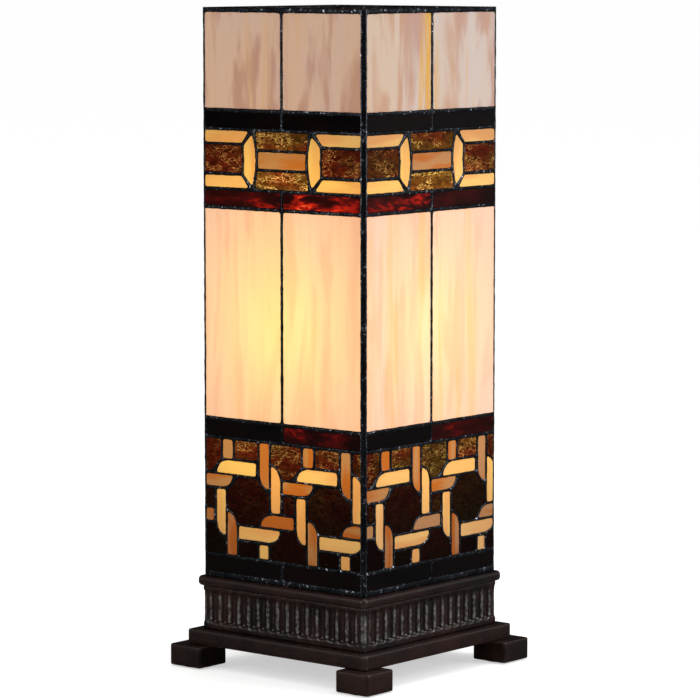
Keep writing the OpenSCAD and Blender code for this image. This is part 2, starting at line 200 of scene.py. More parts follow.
def place(tree):
    """The point's place on the lamp, in metres."""
    return add(tree, "TexCoord").outputs["Object"]


def height_of(tree):
    """The point's height on the lamp, in metres."""
    return add(tree, "SeparateXYZ", {0: place(tree)}).outputs[2]


def stored(tree, name):
    """A number that is stored on the piece's points."""
    return add(tree, "Attribute", attribute_name=name).outputs["Fac"]


def grey(tree, value):
    """A grey of that value, to multiply a colour by."""
    return add(tree, "CombineColor", {0: value, 1: value, 2: value}).outputs[0]


finishes = {}
WHITE = (1.0, 1.0, 1.0)


def new_finish(name, **plain):
    """A material with a Principled shader and its plain values. Returns its tree and shader."""
    material = bpy.data.materials.new(name)
    material.use_nodes = True
    shader = material.node_tree.nodes["Principled BSDF"]
    for socket, value in plain.items():
        shader.inputs[socket.replace("_", " ").title().replace("Ior", "IOR")].default_value = value
    finishes[name] = material
    return material.node_tree, shader


def feed(tree, shader, **sockets):
    """Wires outputs into a shader's sockets."""
    wire(tree, shader, {socket.replace("_", " ").title(): output
                        for socket, output in sockets.items()})


def bump(tree, shader, height, distance, strength=1.0):
    """Gives the shader a bump of that height map, distance metres deep."""
    made = add(tree, "Bump", {"Height": height, "Distance": distance, "Strength": strength})
    tree.links.new(made.outputs[0], shader.inputs["Normal"])


print("helpers ready")

# %% [markdown]
# ## Shared effects
#
# Five effects turn up in more than one finish, so each is a node group.
#
# *Edge wear and highlight* finds the raised edges, where hands and cloths wear a finish through.
# It reads pointiness, which knows how sharply the mesh bends at each point, and breaks it up with
# noise so that the wear is never an even line. On the reeds of the frieze the same mask carries
# a painted highlight along each crest.

# %% Group: edge wear and highlight
def make_edge_wear_and_highlight():
    tree, given, out = new_group(
        "edge wear and highlight", {"From": 0.52, "To": 0.6, "Breakup": 0.5}, {"Mask": "Float"})
    sharp = between(tree, add(tree, "NewGeometry").outputs["Pointiness"],
                    given["From"], given["To"])
    cloud = add(tree, "TexNoise", {"Vector": place(tree), "Scale": 240.0, "Detail": 4.0})
    broken = between(tree, cloud.outputs[0], 0.35, 0.65)
    kept = add(tree, "Mix", {0: given["Breakup"], 2: 1.0, 3: broken}, data_type="FLOAT")
    wire(tree, out, {"Mask": product(tree, sharp, kept.outputs[0])})
    return tree


edge_wear_and_highlight = make_edge_wear_and_highlight()
print("edge wear and highlight has", len(edge_wear_and_highlight.nodes), "nodes")

# %% [markdown]
# *Mottle* is uneven colour and a fine grain, as on cast metal, felt, plastic and solder. One
# noise is broad and cloudy, the other fine, and both are given out: the broad one tints, and
# the fine one makes the surface rough to the light.

# %% Group: mottle
def make_mottle():
    tree, given, out = new_group(
        "mottle", {"Broad": 30.0, "Fine": 600.0}, {"Cloud": "Float", "Grain": "Float"})
    where = place(tree)
    cloud = add(tree, "TexNoise", {
        "Vector": where, "Scale": given["Broad"], "Detail": 5.0, "Roughness": 0.62})
    grain = add(tree, "TexNoise", {
        "Vector": where, "Scale": given["Fine"], "Detail": 3.0, "Roughness": 0.6})
    wire(tree, out, {"Cloud": between(tree, cloud.outputs[0], 0.3, 0.7),
                     "Grain": between(tree, grain.outputs[0], 0.25, 0.75)})
    return tree


mottle = make_mottle()
print("mottle has", len(mottle.nodes), "nodes")

# %% [markdown]
# *Lamp light* says how much of the bulb's light reaches the back of the glass. It falls off
# with the cube of the distance on a flat panel: the square for the spreading of the light,
# and one more for its slant. The glass then shows it as its own emission. Real light through
# real glass would take far longer to render, and it would be lost in an exported model.

# %% Group: lamp light
GLASS_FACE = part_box("front_opal_glass")[0].y
FILAMENT_AT = 0.72
bulb_low, bulb_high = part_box("bulb_globe")
LIGHT_Z = bulb_low.z + FILAMENT_AT * (bulb_high.z - bulb_low.z)


def make_lamp_light():
    tree, _, out = new_group("lamp light", {}, {"Near": "Float"})
    bulb = (0.0, 0.0, LIGHT_Z)
    away = vector_of(tree, "SUBTRACT", place(tree), bulb)
    far = add(tree, "VectorMath", {0: away}, operation="LENGTH").outputs["Value"]
    near = math_of(tree, "POWER", math_of(tree, "DIVIDE", abs(GLASS_FACE), far), 3.0, clamp=True)
    wire(tree, out, {"Near": near})
    return tree


lamp_light = make_lamp_light()
print("light from", round(LIGHT_Z / MM), "mm up")

# %% [markdown]
# *Glass run* is the grain of hand-rolled glass: colours drawn out into long wisps that follow
# the way the sheet was pulled. A noise stretched along the pull makes them, and a second,
# slower noise bends them. Each piece was cut from its own spot of the sheet and turned to
# suit, so the group reads a shift and a direction that are stored on the piece.

# %% Group: glass run
def spot_on_sheet(tree):
    """Where on the sheet the point was cut from."""
    shift = add(tree, "Attribute", attribute_name="cut_shift").outputs["Vector"]
    return vector_of(tree, "ADD", place(tree), shift)


def make_glass_run():
    tree, given, out = new_group(
        "glass run", {"Across": 110.0, "Stretch": 0.12, "Bend": 0.6},
        {"Wisp": "Float", "Thread": "Float", "Patch": "Float"})
    upright = stored(tree, "cut_upright")
    along = product(tree, given["Across"], given["Stretch"])
    standing = add(tree, "CombineXYZ", {0: given["Across"], 1: given["Across"], 2: along})
    lying = add(tree, "CombineXYZ", {0: along, 1: along, 2: given["Across"]})
    pull = add(tree, "Mix", {0: upright, 4: lying.outputs[0], 5: standing.outputs[0]},
               data_type="VECTOR").outputs[1]
    drawn = vector_of(tree, "MULTIPLY", spot_on_sheet(tree), pull)
    slow = add(tree, "TexNoise", {"Vector": drawn, "Scale": 0.45, "Detail": 1.0}).outputs[1]
    swing = add(tree, "VectorMath", {0: slow, "Scale": given["Bend"]}, operation="SCALE")
    bent = vector_of(tree, "ADD", drawn, swing.outputs[0])
    for socket, scale, detail in (("Wisp", 1.0, 3.0), ("Thread", 3.4, 2.0), ("Patch", 0.42, 2.0)):
        run = add(tree, "TexNoise", {"Vector": bent, "Scale": scale, "Detail": detail,
                                     "Roughness": 0.5})
        wire(tree, out, {socket: between(tree, run.outputs[0], 0.28, 0.72)})
    return tree


glass_run = make_glass_run()
print("glass run has", len(glass_run.nodes), "nodes")

# %% [markdown]
# *Ripple* is the wavy skin of rolled cathedral glass. The rollers leave crooked ridges that
# lie mostly level, and each ridge catches the bulb as a thin golden line. The group gives the
# height of the skin for the bump, and the crests alone for the lines of light.

# %% Group: ripple
def make_ripple():
    tree, given, out = new_group(
        "ripple", {"Scale": 260.0, "Flatten": 0.45}, {"Skin": "Float", "Crest": "Float"})
    side = product(tree, given["Scale"], given["Flatten"])
    grid = add(tree, "CombineXYZ", {0: side, 1: side, 2: given["Scale"]}).outputs[0]
    drawn = vector_of(tree, "MULTIPLY", spot_on_sheet(tree), grid)
    wave = add(tree, "TexNoise", {
        "Vector": drawn, "Scale": 1.0, "Detail": 2.5, "Roughness": 0.5, "Distortion": 0.7})
    off = math_of(tree, "ABSOLUTE", math_of(tree, "SUBTRACT", wave.outputs[0], 0.5))
    wire(tree, out, {"Skin": wave.outputs[0], "Crest": between(tree, off, 0.034, 0.0)})
    return tree


ripple = make_ripple()
print("ripple has", len(ripple.nodes), "nodes")

# %% [markdown]
# ## Finishes of the solder and the glass
#
# Copper foil lines are solder, rubbed with a patina that turns it blue-black. It stays a
# metal under it, so the beads shine, and the patina has missed or lost small specks, which
# are bare silvery tin.

# %% Finish: solder
def finish_solder():
    tree, shader = new_finish("solder", metallic=0.9)
    marks = use(tree, mottle, {"Broad": 90.0, "Fine": 900.0})
    rub = use(tree, edge_wear_and_highlight, {"From": 0.53, "To": 0.64, "Breakup": 1.0})
    speck = add(tree, "TexNoise", {"Vector": place(tree), "Scale": 420.0, "Detail": 1.5})
    bare = product(tree, between(tree, speck.outputs[0], 0.61, 0.68),
                   between(tree, marks["Cloud"], 0.3, 0.75))
    bare = math_of(tree, "MAXIMUM", bare, product(tree, rub["Mask"], 0.5))
    dark = mixed(tree, marks["Cloud"], (0.020, 0.023, 0.028), (0.055, 0.062, 0.075))
    feed(tree, shader,
         base_color=mixed(tree, bare, dark, (0.62, 0.66, 0.74)),
         roughness=rough_by(tree, marks["Grain"], 0.18, 0.34))
    bump(tree, shader, speck.outputs[0], 0.0003, 0.6)


finish_solder()
print("solder done")

# %% [markdown]
# Opal glass is milky: it scatters the bulb's light through its whole thickness, so a lit
# panel glows all over, yellow where the bulb is close and peach towards its edges. Far from
# the bulb it hardly glows, and shows its own colour by daylight, a greyed cream. Two runs of
# the sheet are laid over it: broad pinkish flames, and long straight streaks of amber. The
# bulb's light washes both out, so they are made calmer where it is close.

# %% Finish: opal glass
def rolled_skin(tree, shader, scale, depth):
    """The faint waves of a rolled sheet."""
    waves = add(tree, "TexNoise", {"Vector": place(tree), "Scale": scale, "Detail": 2.0})
    bump(tree, shader, waves.outputs[0], depth, 0.35)


def finish_opal():
    tree, shader = new_finish("opal_glass", roughness=0.16, emission_strength=1.0,
                              specular_ior_level=0.35)
    light = use(tree, lamp_light)
    flames = use(tree, glass_run, {"Across": 62.0, "Stretch": 0.20, "Bend": 2.0})
    streaks = use(tree, glass_run, {"Across": 60.0, "Stretch": 0.06, "Bend": 0.9})
    tone = stored(tree, "cut_tone")
    calm = between(tree, light["Near"], 0.06, 0.22, 1.0, 0.40)
    body = mixed(tree, flames["Patch"], (0.80, 0.50, 0.32), (0.75, 0.52, 0.41))
    body = mixed(tree, tone, body, (0.66, 0.58, 0.53))
    wisps = product(tree, between(tree, flames["Wisp"], 0.36, 0.92), calm)
    body = mixed(tree, product(tree, wisps, 0.7), body, (0.52, 0.26, 0.19))
    haze = product(tree, between(tree, streaks["Patch"], 0.50, 1.0), 0.22)
    core = product(tree, between(tree, streaks["Wisp"], 0.58, 0.98),
                   between(tree, streaks["Thread"], 0.0, 0.7, 0.35, 1.0))
    amber = product(tree, math_of(tree, "MAXIMUM", haze, core),
                    between(tree, tone, 0.1, 0.7, 0.25, 0.9))
    amber = product(tree, amber, calm)
    body = mixed(tree, amber, body, (0.80, 0.42, 0.06))
    shine = ramp(tree, light["Near"], (0.0, (0.0, 0.0, 0.0)), (0.09, (0.04, 0.015, 0.004)),
                 (0.17, (0.44, 0.19, 0.035)), (0.45, (0.55, 0.34, 0.05)),
                 (1.0, (0.68, 0.57, 0.055)))
    veil = mixed(tree, wisps, WHITE, (0.96, 0.66, 0.50))
    veil = mixed(tree, amber, veil, (1.0, 0.74, 0.25))
    brushed = between(tree, streaks["Thread"], 0.2, 0.9)
    veil = times(tree, veil, mixed(tree, brushed, WHITE, (1.0, 0.90, 0.70)))
    veil = times(tree, veil, mixed(tree, tone, WHITE, (0.92, 0.55, 1.3)))
    feed(tree, shader, base_color=body, emission_color=times(tree, shine, veil))
    rolled_skin(tree, shader, 60.0, 0.6 * MM)


finish_opal()
print("opal glass done")

# %% [markdown]
# The strips of the weave are opal too, in honey and in orange. One function makes both,
# because they differ only in their colours: pale and deep by daylight, and the same two lit.
# Some pieces are milkier than others, which pales them.

# %% Finish: honey and orange strips
def finish_strip(name, pale, deep, glow, glow_deep):
    tree, shader = new_finish(name, roughness=0.18, emission_strength=1.0, specular_ior_level=0.35)
    light = use(tree, lamp_light)
    run = use(tree, glass_run, {"Across": 210.0, "Stretch": 0.18, "Bend": 0.8})
    tone = stored(tree, "cut_tone")
    hue = stored(tree, "cut_hue")
    streak = product(tree, between(tree, run["Patch"], 0.2, 0.8),
                     between(tree, tone, 0.0, 0.6, 0.45, 1.0))
    milky = mixed(tree, hue, WHITE, (0.92, 0.96, 1.5))
    reach = ramp(tree, light["Near"], (0.0, (0.0, 0.0, 0.0)), (0.06, (0.20, 0.18, 0.15)),
                 (0.17, (0.85, 0.82, 0.75)), (0.5, (1.15, 1.15, 1.15)))
    lit = times(tree, mixed(tree, streak, glow, glow_deep), milky)
    feed(tree, shader,
         base_color=times(tree, mixed(tree, streak, pale, deep), milky),
         emission_color=times(tree, lit, reach))
    rolled_skin(tree, shader, 90.0, 0.5 * MM)


finish_strip("honey_glass", (0.60, 0.35, 0.11), (0.56, 0.26, 0.08),
             (0.70, 0.37, 0.035), (0.66, 0.27, 0.03))
finish_strip("orange_glass", (0.34, 0.17, 0.065), (0.30, 0.075, 0.010),
             (0.34, 0.13, 0.012), (0.40, 0.10, 0.003))
print("strips done")

# %% [markdown]
# Amber glass is clear, dark and rippled. By day it looks almost black. With the bulb on, its
# crests turn gold. The pieces run from olive to red-brown. The hue stored on each piece says
# where it lies between the two, and its tone how much light it lets through.

# %% Finish: amber ripple glass
def finish_amber():
    tree, shader = new_finish("amber_glass", roughness=0.12, emission_strength=1.0,
                              specular_ior_level=0.15)
    light = use(tree, lamp_light)
    run = use(tree, glass_run, {"Across": 120.0, "Stretch": 0.5, "Bend": 0.8})
    skin = use(tree, ripple, {"Scale": 520.0, "Flatten": 0.42})
    tone = stored(tree, "cut_tone")
    hue = stored(tree, "cut_hue")
    hue = math_of(tree, "ADD", hue, between(tree, run["Patch"], 0.0, 1.0, -0.4, 0.4), clamp=True)
    glass = mixed(tree, hue, (0.007, 0.004, 0.001), (0.012, 0.002, 0.001))
    glass = times(tree, glass, ramp(tree, tone, (0.0, (0.2, 0.2, 0.2)), (1.0, (1.0, 1.0, 1.0))))
    lit = product(tree, tone, between(tree, light["Near"], 0.02, 0.22))
    dull = mixed(tree, hue, (0.20, 0.078, 0.007), (0.24, 0.024, 0.004))
    gold = mixed(tree, hue, (1.5, 0.90, 0.20), (1.5, 0.60, 0.14))
    grain = between(tree, skin["Skin"], 0.36, 0.66, 0.45, 1.15)
    dull = times(tree, dull, grey(tree, grain))
    clear = product(tree, between(tree, run["Wisp"], 0.25, 0.65),
                    between(tree, tone, 0.0, 0.4, 0.2, 1.0))
    crest = product(tree, skin["Crest"], clear)
    glow = mixed(tree, crest, dull, gold)
    feed(tree, shader, base_color=glass, emission_color=times(tree, glow, grey(tree, lit)))
    bump(tree, shader, skin["Skin"], 0.0006, 0.45)


finish_amber()
print("amber glass done")

# %% [markdown]
# Ruby glass is streaked with red, from nearly black to flame. The streaks lie along the bar.
# Black glass is the plain dark bar between the bands: only its gloss and a faint wave in its
# skin give it away.

# %% Finish: ruby and black bars
def finish_ruby():
    tree, shader = new_finish("ruby_glass", roughness=0.12, emission_strength=1.0,
                              specular_ior_level=0.25)
    light = use(tree, lamp_light)
    run = use(tree, glass_run, {"Across": 130.0, "Stretch": 0.34, "Bend": 1.2})
    skin = use(tree, ripple, {"Scale": 300.0, "Flatten": 0.3})
    tone = stored(tree, "cut_tone")
    reach = product(tree, tone, between(tree, light["Near"], 0.04, 0.34))
    flame = product(tree, between(tree, run["Wisp"], 0.28, 0.95), reach)
    flame = product(tree, flame, between(tree, run["Thread"], 0.1, 0.8, 0.55, 1.15))
    glow = ramp(tree, flame, (0.0, (0.002, 0.0, 0.0)), (0.22, (0.045, 0.001, 0.001)),
                (0.50, (0.30, 0.007, 0.002)), (0.75, (0.68, 0.024, 0.005)),
                (1.0, (1.0, 0.17, 0.03)))
    feed(tree, shader,
         base_color=mixed(tree, run["Patch"], (0.006, 0.001, 0.001), (0.030, 0.003, 0.002)),
         emission_color=glow)
    bump(tree, shader, skin["Skin"], 0.0005, 0.35)


def finish_black():
    tree, shader = new_finish("black_glass", roughness=0.08, specular_ior_level=0.35)
    run = use(tree, glass_run, {"Across": 60.0, "Stretch": 0.3, "Bend": 0.8})
    feed(tree, shader, base_color=mixed(
        tree, run["Wisp"], (0.0008, 0.0006, 0.0008), (0.0045, 0.0012, 0.0012)))
    skin = use(tree, ripple, {"Scale": 130.0, "Flatten": 0.3})
    bump(tree, shader, skin["Skin"], 0.0008, 0.4)


finish_ruby()
finish_black()
print("bars done")

# %% [markdown]
# ## Finishes of the base and the fittings
#
# The base is cast and painted a brown so dark that it passes for bronze. Its edges are rubbed
# a little lighter, and its broad faces have reddish clouds in them. The reeds of the frieze
# carry a painted highlight instead: a pale grey along each crest, which fades before their ends.
# So one function makes both finishes, with the colour that goes on the edges (wear on the one,
# painted highlight on the other) and the heights it lies between.

# %% Finishes: bronze
WEAR_AND_HIGHLIGHT_FADE = 7 * MM


def finish_bronze(name, wear_and_highlight, low, high):
    tree, shader = new_finish(name, specular_ior_level=0.5, coat_weight=0.35, coat_roughness=0.2)
    marks = use(tree, mottle, {"Broad": 28.0, "Fine": 700.0})
    rub = use(tree, edge_wear_and_highlight, {"From": 0.510, "To": 0.537, "Breakup": 0.25})
    paint = mixed(tree, marks["Cloud"], (0.004, 0.0022, 0.0018), (0.028, 0.0075, 0.0045))
    height = height_of(tree)
    reach = product(tree, between(tree, height, low, low + WEAR_AND_HIGHLIGHT_FADE),
                    between(tree, height, high, high - WEAR_AND_HIGHLIGHT_FADE))
    # The rubbed colour is wear on the edges of the castings, and a painted highlight along the
    # crests of the reeds.
    feed(tree, shader,
         base_color=mixed(tree, product(tree, rub["Mask"], reach),
                          paint, wear_and_highlight),
         roughness=rough_by(tree, marks["Grain"], 0.26, 0.40))
    bump(tree, shader, marks["Grain"], 0.00006, 0.4)


frieze_low, frieze_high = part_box("fluted_frieze")
finish_bronze("bronze", (0.040, 0.022, 0.016), cad_low.z - WEAR_AND_HIGHLIGHT_FADE, cad_high.z)
# The pale grey on the reeds is a painted highlight along each crest, fading before their ends.
finish_bronze("bronze_reeds_painted_highlight", (0.32, 0.325, 0.32), frieze_low.z + 2 * MM, frieze_high.z - 2 * MM)
print("bronze done")

# %% [markdown]
# The small parts share one recipe with their own numbers: a colour, a second colour in
# clouds, a rubbed edge, and a grain. Brass and nickel are metals. Felt is soft and very
# rough. The two plastics and the porcelain are smooth.

# %% Finishes: small parts
def finish_plain(name, colour, clouded, rough, grain=0.10 * MM, rubbed=None, fine=700.0,
                 **plain):
    """rough is the least and the most roughness, and grain the depth of the fine bumps."""
    tree, shader = new_finish(name, **plain)
    marks = use(tree, mottle, {"Broad": 40.0, "Fine": fine})
    skin = mixed(tree, marks["Cloud"], colour, clouded)
    if rubbed:
        rub = use(tree, edge_wear_and_highlight, {"From": 0.51, "To": 0.6, "Breakup": 0.7})
        skin = mixed(tree, product(tree, rub["Mask"], 0.6), skin, rubbed)
    feed(tree, shader, base_color=skin,
         roughness=rough_by(tree, marks["Grain"], *rough))
    bump(tree, shader, marks["Grain"], grain, 0.5)


finish_plain("felt", (0.012, 0.012, 0.013), (0.028, 0.027, 0.027), (0.85, 1.0), 0.40 * MM,
             fine=2200.0, sheen_weight=0.6)
finish_plain("zinc_steel", (0.42, 0.43, 0.45), (0.58, 0.58, 0.56), (0.28, 0.48), metallic=1.0,
             rubbed=(0.75, 0.75, 0.75))
finish_plain("black_plastic", (0.010, 0.010, 0.011), (0.017, 0.017, 0.018), (0.32, 0.46))
finish_plain("brass", (0.48, 0.30, 0.10), (0.62, 0.43, 0.17), (0.20, 0.42), metallic=1.0,
             rubbed=(0.85, 0.66, 0.34))
finish_plain("porcelain", (0.78, 0.76, 0.70), (0.86, 0.84, 0.80), (0.12, 0.22), 0.05 * MM)
finish_plain("solder_tip", (0.50, 0.50, 0.50), (0.66, 0.66, 0.64), (0.22, 0.40), metallic=1.0)
finish_plain("black_glass_bead", (0.006, 0.006, 0.007), (0.02, 0.015, 0.02), (0.05, 0.12),
             0.03 * MM)
finish_plain("nickel_cap", (0.55, 0.52, 0.47), (0.70, 0.67, 0.61), (0.16, 0.34), metallic=1.0,
             rubbed=(0.86, 0.84, 0.80))
print(len(finishes), "finishes so far")

# %% [markdown]
# The bulb's globe is etched inside, so it glows all over, and less towards its neck, which is
# farther from the filament. Its glass stem is clear, and the filament glows.

# %% Finishes: bulb
def finish_pearl():
    tree, shader = new_finish("pearl_glass", emission_strength=0.75)
    marks = use(tree, mottle, {"Broad": 22.0, "Fine": 500.0})
    lit = between(tree, height_of(tree), bulb_low.z, LIGHT_Z)
    glow = mixed(tree, lit, (0.45, 0.16, 0.03), (1.0, 0.62, 0.24))
    feed(tree, shader,
         base_color=mixed(tree, marks["Cloud"], (0.56, 0.50, 0.40), (0.62, 0.56, 0.46)),
         emission_color=glow,
         roughness=rough_by(tree, marks["Grain"], 0.15, 0.3))


def finish_filament():
    tree, shader = new_finish("filament", metallic=1.0, roughness=0.4, emission_strength=4.0)
    marks = use(tree, mottle, {"Broad": 400.0, "Fine": 2500.0})
    feed(tree, shader,
         base_color=mixed(tree, marks["Cloud"], (0.32, 0.31, 0.30), (0.5, 0.48, 0.45)),
         emission_color=mixed(tree, marks["Cloud"], (1.0, 0.45, 0.10), (1.0, 0.62, 0.2)))


finish_pearl()
finish_filament()
finish_plain("clear_glass", (0.93, 0.95, 0.94), (0.97, 0.98, 0.98), (0.02, 0.06), 0.03 * MM,
             transmission_weight=1.0, ior=1.5)
print(len(finishes), "finishes in all")

# %% [markdown]
# ## Helpers for the pieces
#
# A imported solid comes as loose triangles. A copy of it is joined back into a closed mesh and
# its flat faces are made whole, and then it can be bevelled, cut or remeshed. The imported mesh
# itself is never touched.

# %% Piece helpers
def merged_copy(*nodes):
    """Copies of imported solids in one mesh, with their triangles joined and flat faces whole."""
    made = bmesh.new()
    for node in nodes:
        made.from_mesh(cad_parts[node].data)
    bmesh.ops.remove_doubles(made, verts=made.verts, dist=1e-6)
    bmesh.ops.dissolve_limit(
        made, angle_limit=math.radians(0.5), verts=made.verts, edges=made.edges)
    return made


def piece_from(made, name, finish, nodes, body, soft_angle=38):
    """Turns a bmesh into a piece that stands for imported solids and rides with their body."""
    mesh = bpy.data.meshes.new(name)
    made.to_mesh(mesh)
    made.free()
    mesh.shade_smooth()
    mesh.set_sharp_from_angle(angle=math.radians(soft_angle))
    piece = new_object(name, mesh)
    mesh.materials.append(finishes[finish])
    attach(piece, body)
    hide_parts(*nodes)
    return piece


# %% [markdown]
# ## The solder lattices
#
# Each side is one net of solder. On the lamp it is a row of beads that run together where
# they meet, high and round, a little uneven, because a hand drew them. A bevel can't round a
# net as tangled as this, because its corners collide. A voxel remesh can: it wraps the flat
# net in a fine skin, and smoothing then pulls the skin round like surface tension. A little
# noise after that gives the hand back.

# %% Melt helpers
def applied(piece):
    """The piece with its modifiers made part of its mesh."""
    graph = bpy.context.evaluated_depsgraph_get()
    mesh = bpy.data.meshes.new_from_object(piece.evaluated_get(graph))
    piece.modifiers.clear()
    old, name = piece.data, piece.data.name
    piece.data = mesh
    bpy.data.meshes.remove(old)
    mesh.name = name
    return piece


def melted(piece, voxel, passes):
    """Wraps the piece in an even skin and lets it settle round."""
    skin = piece.modifiers.new("skin", "REMESH")
    skin.mode = "VOXEL"
    skin.voxel_size = voxel
    settle = piece.modifiers.new("settle", "SMOOTH")
    settle.factor = 0.5
    settle.iterations = passes
    return applied(piece)


def off_the_ends(low, high, fade):
    """How much of a move a point takes: none at the bottom and top ends, which stay flat."""
    def keep(point):
        rise = min(point.z - low.z, high.z - point.z)
        return min(1.0, max(0.0, rise / fade))
    return keep


def uneven(piece, lumps, keep, swell=0.0):
    """Moves each point along its normal by noise. lumps are (size, depth) pairs in metres."""
    made = bmesh.new()
    made.from_mesh(piece.data)
    for point in made.verts:
        push = swell + sum(depth * noise.noise(point.co / size) for size, depth in lumps)
        point.co += point.normal * (push * keep(point.co))
    made.to_mesh(piece.data)
    made.free()
    piece.data.shade_smooth()
    return piece


SIDES = ("front", "right", "back", "left")
SOLDER_VOXEL = 0.72 * MM
SOLDER_PASSES = 5
SOLDER_SWELL = 0.14 * MM
SOLDER_LUMPS = ((5.0 * MM, 0.22 * MM), (1.7 * MM, 0.10 * MM))
print("voxels of", SOLDER_VOXEL / MM, "mm")

# %% Solder of the four sides
lattice_low, lattice_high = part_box("front_lead_lattice")
for side in SIDES:
    node = side + "_lead_lattice"
    solder = piece_from(merged_copy(node), side + "_solder", "solder", [node], body="shade")
    melted(solder, SOLDER_VOXEL, SOLDER_PASSES)
    uneven(solder, SOLDER_LUMPS, off_the_ends(lattice_low, lattice_high, 1.5 * MM), SOLDER_SWELL)
    print(solder.name, len(solder.data.polygons), "faces")

# %% [markdown]
# ## The corner beads
#
# Where two sides meet, a thicker bead joins them. It is drawn in two runs, one along each
# side's edge, so a shallow valley is left between them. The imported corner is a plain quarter
# round. Its copy is sliced across every few millimetres, and each slice is then drawn in or
# let out.

# %% Corner beads
corner_low, corner_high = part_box("corner_cames")
CORNER_R = 3.0 * MM
CORNER_AT = corner_high.x - CORNER_R
SLICE = 1.6 * MM
VALLEY = 0.16


def split_many_sided(made):
    """Cuts the faces that have more than four sides into triangles."""
    bmesh.ops.triangulate(made, faces=[f for f in made.faces if len(f.verts) > 4])


def slice_across(made, axis, start, end, step):
    """Cuts the mesh by evenly spaced planes across one axis."""
    normal = Vector((0, 0, 0))
    normal[axis] = 1.0
    count = max(1, round((end - start) / step))
    for k in range(1, count):
        spot = normal * (start + (end - start) * k / count)
        bmesh.ops.bisect_plane(
            made, geom=[*made.verts, *made.edges, *made.faces], dist=1e-7,
            plane_co=spot, plane_no=normal)


def make_corner_beads():
    made = merged_copy("corner_cames")
    slice_across(made, 2, corner_low.z, corner_high.z, SLICE)
    for point in made.verts:
        middle = Vector((math.copysign(CORNER_AT, point.co.x),
                         math.copysign(CORNER_AT, point.co.y), point.co.z))
        out = point.co - middle
        if out.length < 0.5 * MM:
            continue
        turn = math.degrees(math.atan2(abs(out.y), abs(out.x)))
        valley = VALLEY * math.exp(-((turn - 45) / 13) ** 2)
        hand = 0.07 * noise.noise(point.co / (6 * MM)) + 0.04 * noise.noise(point.co / (2.2 * MM))
        point.co = middle + out * min(1.0, 0.95 - valley + hand)
    split_many_sided(made)
    return made


corner_beads = piece_from(
    make_corner_beads(), "corner_beads", "solder", ["corner_cames"], soft_angle=60, body="shade")
print("corner beads", len(corner_beads.data.polygons), "faces")

# %% [markdown]
# ## The glass
#
# A cutter leaves each piece a little larger than the light it shows, because copper foil and
# solder cover its edge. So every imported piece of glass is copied, its edge is let out under
# the solder, and its faces are cut into a grid fine enough to carry the waves of the sheet.
# The pieces of one side and kind stay one mesh, and what differs from piece to piece is
# stored on its points: where on the sheet it was cut, which way, and its tone.

# %% Glass helpers
UNDER_SOLDER = 0.7 * MM


def loose_parts(made):
    """The mesh's separate pieces, each a list of its points."""
    left, parts = set(made.verts), []
    for first in list(made.verts):
        if first not in left:
            continue
        left.discard(first)
        part, front = [], [first]
        while front:
            point = front.pop()
            part.append(point)
            for edge in point.link_edges:
                other = edge.other_vert(point)
                if other in left:
                    left.discard(other)
                    front.append(other)
        parts.append(part)
    return parts


def let_out(made, out, amount):
    """Moves the edges of flat pieces outwards in their own plane, keeping their corners sharp."""
    made.normal_update()
    moves = []
    for point in made.verts:
        rims = []
        for face in point.link_faces:
            if abs(face.normal.dot(out)) < 0.2 and all(face.normal.dot(n) < 0.99 for n in rims):
                rims.append(face.normal.copy())
        if len(rims) == 1:
            moves.append((point, rims[0] * amount))
        elif len(rims) >= 2:
            corner = 1 + max(-0.6, rims[0].dot(rims[1]))
            moves.append((point, (rims[0] + rims[1]) * amount / corner))
    for point, move in moves:
        point.co += move


def middle_of(part):
    """The mean place of a piece's points."""
    return sum((p.co for p in part), Vector()) / len(part)


print("glass is let out", UNDER_SOLDER / MM, "mm under the solder")

# %% Rules for each piece's tone
WEAVE_TOP = 0.159
TILE_BOTTOM = 0.328
MIDDLE_TILE = 0.02
TALL_TOP = 0.3155
RUBY_RUN = (0.42, 0.92, 0.65, 0.10)


def place_around(side, spot):
    """Counts the panels' halves round the lamp, from 0 at the front's left-hand half to 7."""
    turn = math.radians(90) * SIDES.index(side)
    to_the_right = spot.x * math.cos(turn) + spot.y * math.sin(turn)
    return 2 * SIDES.index(side) + (to_the_right > 0)


def off_the_middle(side, spot):
    """How far a spot is from the middle of its side."""
    return abs(spot.x if side in ("front", "back") else spot.y)


def tone_of(kind, side, spot, draw):
    """How light or streaked a piece is, from 0 to 1, by its kind and where it sits."""
    if kind == "opal_glass":
        fair = side in ("right", "left")
        if spot.z > TALL_TOP:
            return 0.8 if fair else 0.1
        return 0.6 if fair else 0.2
    if kind == "ruby_glass":
        return RUBY_RUN[place_around(side, spot) % 4] if spot.z > TALL_TOP else 0.30
    if kind == "amber_glass":
        if spot.z > TILE_BOTTOM:
            return 1.0 if off_the_middle(side, spot) < MIDDLE_TILE else 0.75 - 0.2 * draw
        height = (spot.z - lattice_low.z) / (WEAVE_TOP - lattice_low.z)
        return 0.02 + 1.1 * max(0.0, height - 0.35) ** 2 + 0.10 * draw
    return draw


def hue_of(kind, side, spot, draw):
    """0 for olive and 1 for red-brown in the amber glass. In the strips, how milky they are."""
    if kind in ("honey_glass", "orange_glass"):
        return 0.35 + 0.5 * draw if side in ("right", "left") else 0.4 * draw * draw
    if spot.z > TILE_BOTTOM:
        middle = off_the_middle(side, spot) < MIDDLE_TILE
        return 0.3 + 0.3 * draw if middle else 0.8 + 0.2 * draw
    return 1 - draw * draw


print("tones go by height and place")

